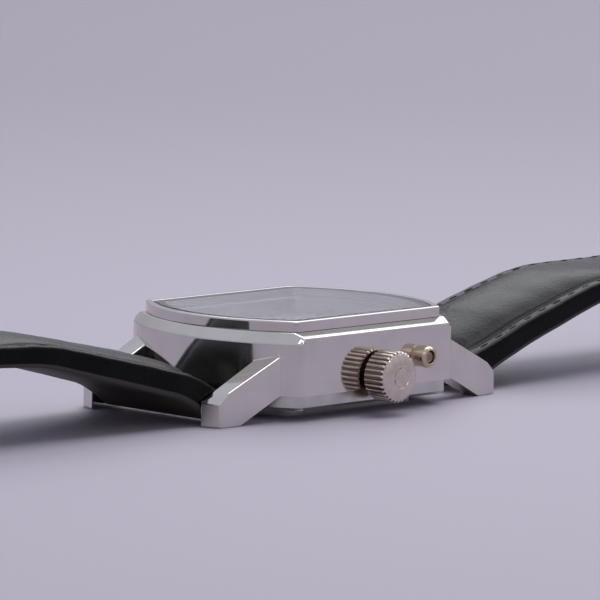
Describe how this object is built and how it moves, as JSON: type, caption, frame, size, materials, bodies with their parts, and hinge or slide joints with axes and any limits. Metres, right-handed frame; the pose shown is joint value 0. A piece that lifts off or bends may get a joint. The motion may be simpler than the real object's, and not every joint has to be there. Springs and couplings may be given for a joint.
{
  "type": "rectangular wristwatch",
  "caption": "Rectangular steel wristwatch with bowed ends, fluted crown, side pusher and padded black strap, lying open dial up.",
  "frame": {"origin": "middle of the case back's flat outer face, on the table", "axes": "+Z out of the crystal, +Y towards 12 o'clock along the strap, +X towards the crown"},
  "size_m": [0.0356, 0.2458, 0.014],
  "materials": {
    "polished_steel": "mirror polished, bright",
    "steel": "plain turned steel",
    "brass": "gilt brass, fine grained",
    "rubber": "black, satin",
    "leather": "black, smooth with a satin shine",
    "crystal_glass": "clear, flat and polished",
    "dial_lacquer": "silver white, satin",
    "hands_metal": "polished, thin",
    "holder_plastic": "moulded, cream white",
    "copper_wire": "enamelled winding",
    "board": "green laminate"
  },
  "bodies": {
    "case": {"mid_case": "polished_steel", "bezel": "polished_steel", "crystal": "crystal_glass", "crystal_gasket": "rubber", "case_back": "polished_steel", "case_back_gasket": "rubber", "case_back_screws": "steel", "crown_tube": "steel", "pusher_tube": "polished_steel", "pusher_spring": "steel", "dial": "dial_lacquer", "hour_markers": "hands_metal", "movement_holder": "holder_plastic", "main_plate": "brass", "train_bridge": "brass", "bridge_screws": "steel", "stator": "steel", "coil": "copper_wire", "circuit_board": "board", "quartz_crystal": "steel", "battery": "steel", "battery_clamp": "steel", "contact_spring": "brass", "spring_bar_6": "steel", "spring_bar_12": "steel"},
    "crown_seal": {"crown_gasket": "rubber"},
    "winding_crown": {"crown": "polished_steel", "stem": "steel"},
    "lever": {"setting_lever": "steel"},
    "push_button": {"pusher": "polished_steel", "pusher_clip": "steel"},
    "minutes": {"center_wheel": "brass", "minute_hand": "hands_metal"},
    "seconds": {"fourth_wheel": "brass", "seconds_hand": "hands_metal"},
    "hours": {"hour_wheel": "brass", "hour_hand": "hands_metal"},
    "third": {"third_wheel": "brass"},
    "fifth": {"fifth_wheel": "brass"},
    "motor_rotor": {"rotor": "steel"},
    "minute_works": {"minute_wheel": "brass"},
    "pin_6_right": {"bar_pin_6_right": "steel"},
    "pin_6_left": {"bar_pin_6_left": "steel"},
    "pin_12_right": {"bar_pin_12_right": "steel"},
    "pin_12_left": {"bar_pin_12_left": "steel"},
    "long_half": {"strap_long": "leather"},
    "short_half": {"strap_short": "leather", "fixed_keeper": "leather", "buckle_bar": "steel"},
    "keeper": {"free_keeper": "leather"},
    "buckle": {"buckle_frame": "polished_steel"},
    "tongue": {"buckle_tongue": "polished_steel"}
  },
  "joints": [
    {"name": "crown_pull", "type": "slide", "parent": "case", "child": "crown_seal", "axis": [1, 0, 0], "range_m": [0, 0.0009]},
    {"name": "crown_turn", "type": "hinge", "parent": "crown_seal", "child": "winding_crown", "pos_m": [0.0161, 0.0001, 0.0051], "axis": [1, 0, 0], "continuous": true},
    {"name": "setting_lever_swing", "type": "hinge", "parent": "case", "child": "lever", "pos_m": [0.0072, 0.0025, 0.0058], "axis": [0, 0, 1], "range_deg": [-22, 22]},
    {"name": "button_press", "type": "slide", "parent": "case", "child": "push_button", "axis": [-1, 0, 0], "range_m": [0, 0.0009], "stiffness_N_per_m": 600, "deforming": ["pusher_spring"]},
    {"name": "seconds_turn", "type": "hinge", "parent": "case", "child": "seconds", "pos_m": [0, 0, 0.007], "axis": [0, 0, 1], "continuous": true},
    {"name": "minutes_turn", "type": "hinge", "parent": "case", "child": "minutes", "pos_m": [0, 0, 0.007], "axis": [0, 0, 1], "continuous": true},
    {"name": "hours_turn", "type": "hinge", "parent": "case", "child": "hours", "pos_m": [0, 0, 0.008], "axis": [0, 0, 1], "continuous": true},
    {"name": "third_wheel_turn", "type": "hinge", "parent": "case", "child": "third", "pos_m": [-0.00193, -0.0023, 0.006], "axis": [0, 0, 1], "continuous": true},
    {"name": "fifth_wheel_turn", "type": "hinge", "parent": "case", "child": "fifth", "pos_m": [0.0027, 0.00156, 0.006], "axis": [0, 0, 1], "continuous": true},
    {"name": "rotor_turn", "type": "hinge", "parent": "case", "child": "motor_rotor", "pos_m": [0.0041, 0.00398, 0.006], "axis": [0, 0, 1], "continuous": true},
    {"name": "minute_wheel_turn", "type": "hinge", "parent": "case", "child": "minute_works", "pos_m": [0.0013, -0.00225, 0.0077], "axis": [0, 0, 1], "continuous": true},
    {"name": "bar_pin_6_right_press", "type": "slide", "parent": "case", "child": "pin_6_right", "axis": [-1, 0, 0], "range_m": [0, 0.0009], "stiffness_N_per_m": 400},
    {"name": "bar_pin_6_left_press", "type": "slide", "parent": "case", "child": "pin_6_left", "axis": [1, 0, 0], "range_m": [0, 0.0009], "stiffness_N_per_m": 400},
    {"name": "bar_pin_12_right_press", "type": "slide", "parent": "case", "child": "pin_12_right", "axis": [-1, 0, 0], "range_m": [0, 0.0009], "stiffness_N_per_m": 400},
    {"name": "bar_pin_12_left_press", "type": "slide", "parent": "case", "child": "pin_12_left", "axis": [1, 0, 0], "range_m": [0, 0.0009], "stiffness_N_per_m": 400},
    {"name": "long_strap_swing", "type": "hinge", "parent": "case", "child": "long_half", "pos_m": [0, -0.0237, 0.0025], "axis": [-1, 0, 0], "range_deg": [-80, 55]},
    {"name": "short_strap_swing", "type": "hinge", "parent": "case", "child": "short_half", "pos_m": [0, 0.0237, 0.0025], "axis": [1, 0, 0], "range_deg": [-80, 60]},
    {"name": "keeper_slide", "type": "slide", "parent": "short_half", "child": "keeper", "axis": [0, -0.9063, 0.4226], "range_m": [-0.0015, 0.0035]},
    {"name": "buckle_swing", "type": "hinge", "parent": "short_half", "child": "buckle", "pos_m": [0, 0.09928, 0.00185], "axis": [1, 0, 0], "range_deg": [-20, 65]},
    {"name": "tongue_swing", "type": "hinge", "parent": "buckle", "child": "tongue", "pos_m": [0, 0.09928, 0.00185], "axis": [1, 0, 0], "range_deg": [0, 40]}
  ],
  "couplings": [
    {"joint": "rotor_turn", "follows": "seconds_turn", "ratio": 30},
    {"joint": "fifth_wheel_turn", "follows": "seconds_turn", "ratio": -5},
    {"joint": "third_wheel_turn", "follows": "seconds_turn", "ratio": -0.13333},
    {"joint": "minutes_turn", "follows": "seconds_turn", "ratio": 0.016667},
    {"joint": "minute_wheel_turn", "follows": "seconds_turn", "ratio": -0.0055556},
    {"joint": "hours_turn", "follows": "seconds_turn", "ratio": 0.0013889},
    {"joint": "setting_lever_swing", "follows": "crown_pull", "rad_per_m": 416.67}
  ]
}
